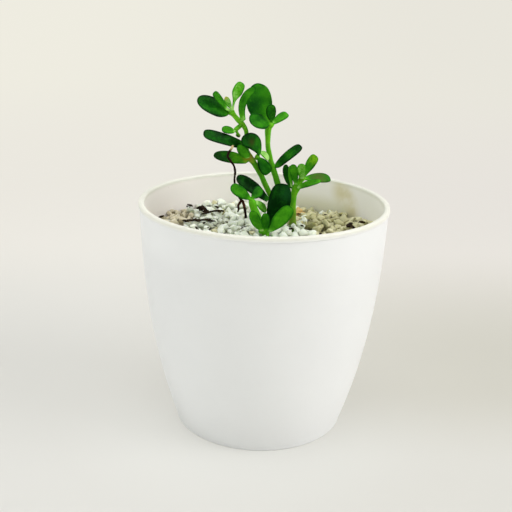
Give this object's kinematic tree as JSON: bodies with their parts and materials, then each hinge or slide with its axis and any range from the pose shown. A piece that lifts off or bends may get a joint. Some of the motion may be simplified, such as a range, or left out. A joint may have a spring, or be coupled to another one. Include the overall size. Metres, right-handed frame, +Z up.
{
  "type": "potted succulent",
  "caption": "Young small-leaved succulent with upright stems in a flared white plastic pot topped with pale gravel.",
  "frame": {"origin": "centre of the pot's resting face, on the ground", "axes": "+Z up along the pot's axis, -Y towards the side that the plant was seen from, +X to the right of that view"},
  "size_m": [0.1104, 0.1104, 0.1552],
  "materials": {
    "pot_white": "satin",
    "soil_dark": "matte",
    "gravel_pale": "matte",
    "bark_brown": "matte",
    "stem_green": "satin",
    "root_brown": "matte",
    "leaf_dark": "gloss",
    "leaf_mid": "gloss",
    "leaf_young": "gloss"
  },
  "bodies": {
    "root": {"pot": "pot_white", "potting_soil": "soil_dark", "gravel_bed": "gravel_pale", "bark_chip_01": "bark_brown", "bark_chip_02": "bark_brown", "bark_chip_03": "bark_brown", "bark_chip_04": "bark_brown", "bark_chip_05": "bark_brown", "bark_chip_06": "bark_brown", "bark_chip_07": "bark_brown", "bark_chip_08": "bark_brown", "stem_left": "stem_green", "stem_right": "stem_green", "stem_side": "stem_green", "stem_low": "stem_green", "twig_left": "stem_green", "twig_middle": "stem_green", "tendril_left": "stem_green", "aerial_root": "root_brown", "aerial_root_fork": "root_brown", "leaf_left_01": "leaf_dark", "leaf_left_02": "leaf_mid", "leaf_left_03": "leaf_young", "leaf_left_04": "leaf_young", "leaf_left_05": "leaf_mid", "leaf_left_06": "leaf_young", "leaf_left_07": "leaf_dark", "leaf_left_08": "leaf_dark", "leaf_left_09": "leaf_mid", "leaf_left_10": "leaf_young", "leaf_left_11": "leaf_young", "leaf_left_12": "leaf_dark", "leaf_left_13": "leaf_dark", "leaf_right_01": "leaf_dark", "leaf_right_02": "leaf_mid", "leaf_right_03": "leaf_dark", "leaf_right_04": "leaf_young", "leaf_right_05": "leaf_dark", "leaf_side_01": "leaf_dark", "leaf_side_02": "leaf_mid", "leaf_side_03": "leaf_young", "leaf_side_04": "leaf_young", "leaf_side_05": "leaf_young", "leaf_side_06": "leaf_young", "leaf_side_07": "leaf_mid", "leaf_low_01": "leaf_young", "leaf_low_02": "leaf_mid", "leaf_low_03": "leaf_mid", "leaf_low_04": "leaf_mid", "leaf_low_05": "leaf_dark", "leaf_low_06": "leaf_mid", "leaf_low_07": "leaf_dark"}
  },
  "joints": []
}
